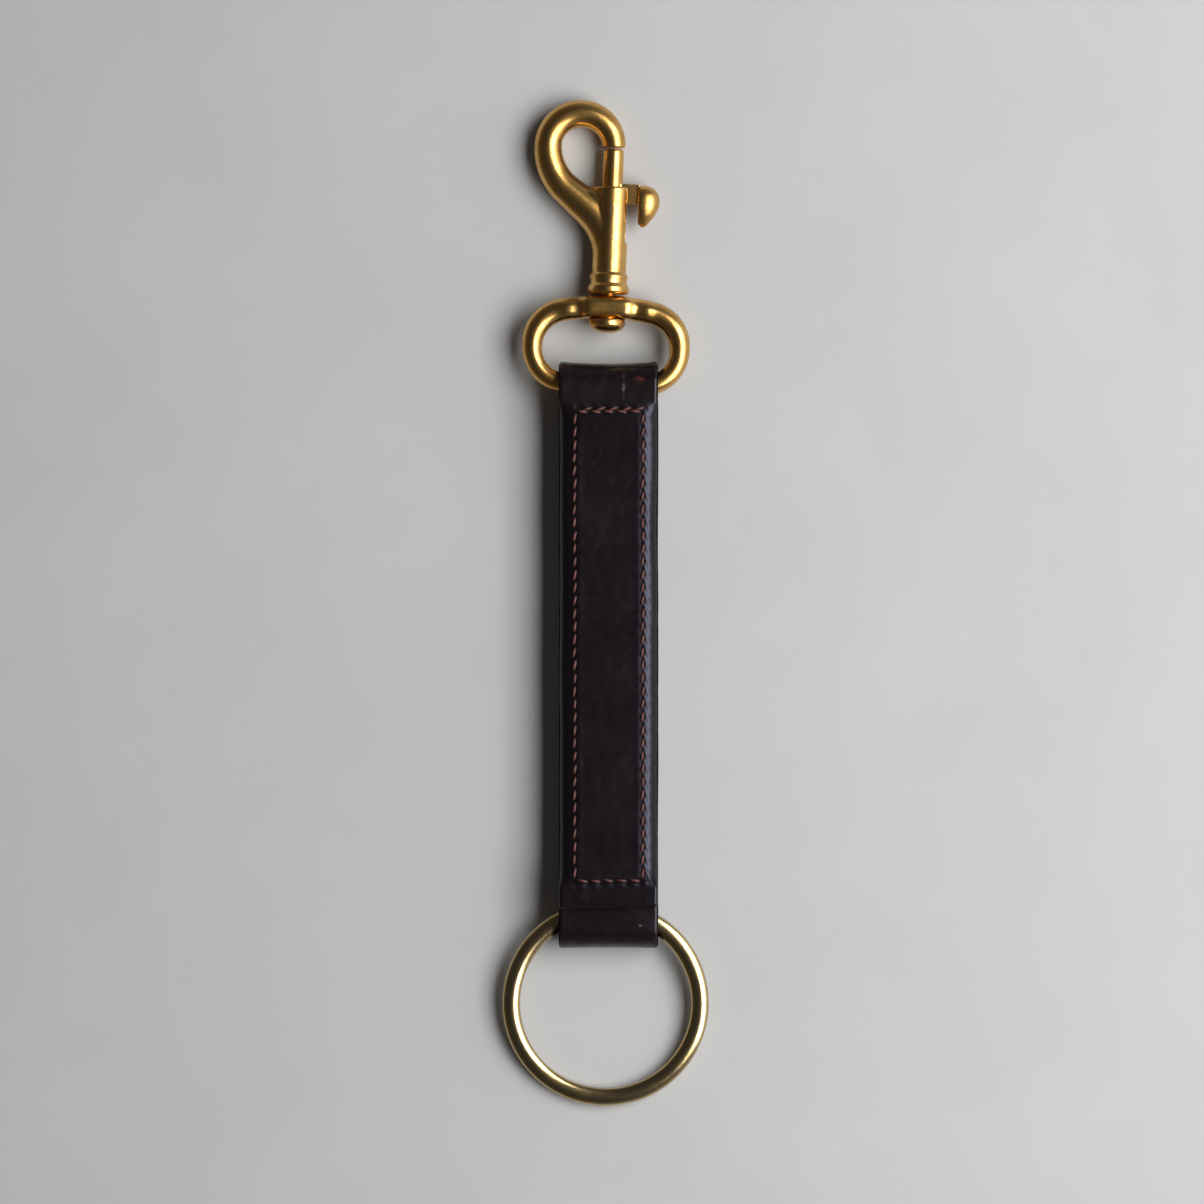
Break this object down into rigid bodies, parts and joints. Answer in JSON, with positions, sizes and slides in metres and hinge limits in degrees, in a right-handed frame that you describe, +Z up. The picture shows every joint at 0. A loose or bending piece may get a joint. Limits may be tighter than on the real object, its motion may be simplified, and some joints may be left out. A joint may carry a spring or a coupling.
{
  "type": "leather bolt snap key fob",
  "caption": "Folded black leather strap with a swivelling brass bolt snap at one end and a key ring at the other, for clipping keys to a bag or belt loop",
  "frame": {"origin": "centre of the bounding box seen from above, on the table the fob lies on", "axes": "+Y runs along the strap from the key ring to the snap, +X is to the right seen from above, +Z is up out of the front face"},
  "size_m": [0.0398, 0.1942, 0.0113],
  "materials": {
    "leather": "smooth dark leather with a soft sheen and burnished edges",
    "thread": "waxed rust-brown thread",
    "cast_brass": "satin cast brass, slightly aged",
    "ring_brass": "polished pale brass wire",
    "spring_steel": "bare spring wire"
  },
  "bodies": {
    "strap": {"strap": "leather", "stitching": "thread"},
    "eye": {"swivel_eye": "cast_brass"},
    "snap": {"snap_body": "cast_brass", "swivel_rivet": "cast_brass", "bolt_spring": "spring_steel"},
    "bolt": {"bolt": "cast_brass"},
    "ring": {"key_ring": "ring_brass"}
  },
  "joints": [
    {"name": "eye_swing", "type": "hinge", "parent": "strap", "child": "eye", "pos_m": [-0.00024, 0.04182, 0.00536], "axis": [0.9992, -0.0401, 0], "range_deg": [-110, 110]},
    {"name": "snap_swivel", "type": "hinge", "parent": "eye", "child": "snap", "pos_m": [0.00037, 0.057, 0.00461], "axis": [0.0401, 0.998, -0.0492], "continuous": true},
    {"name": "bolt_slide", "type": "slide", "parent": "snap", "child": "bolt", "axis": [-0.0401, -0.998, 0.0492], "range_m": [0, 0.007], "stiffness_N_per_m": 300, "springref_m": -0.004, "deforming": ["bolt_spring"]},
    {"name": "ring_swing", "type": "hinge", "parent": "strap", "child": "ring", "pos_m": [0, -0.06031, 0.0045], "axis": [1, 0, 0], "range_deg": [-34, 28]}
  ]
}
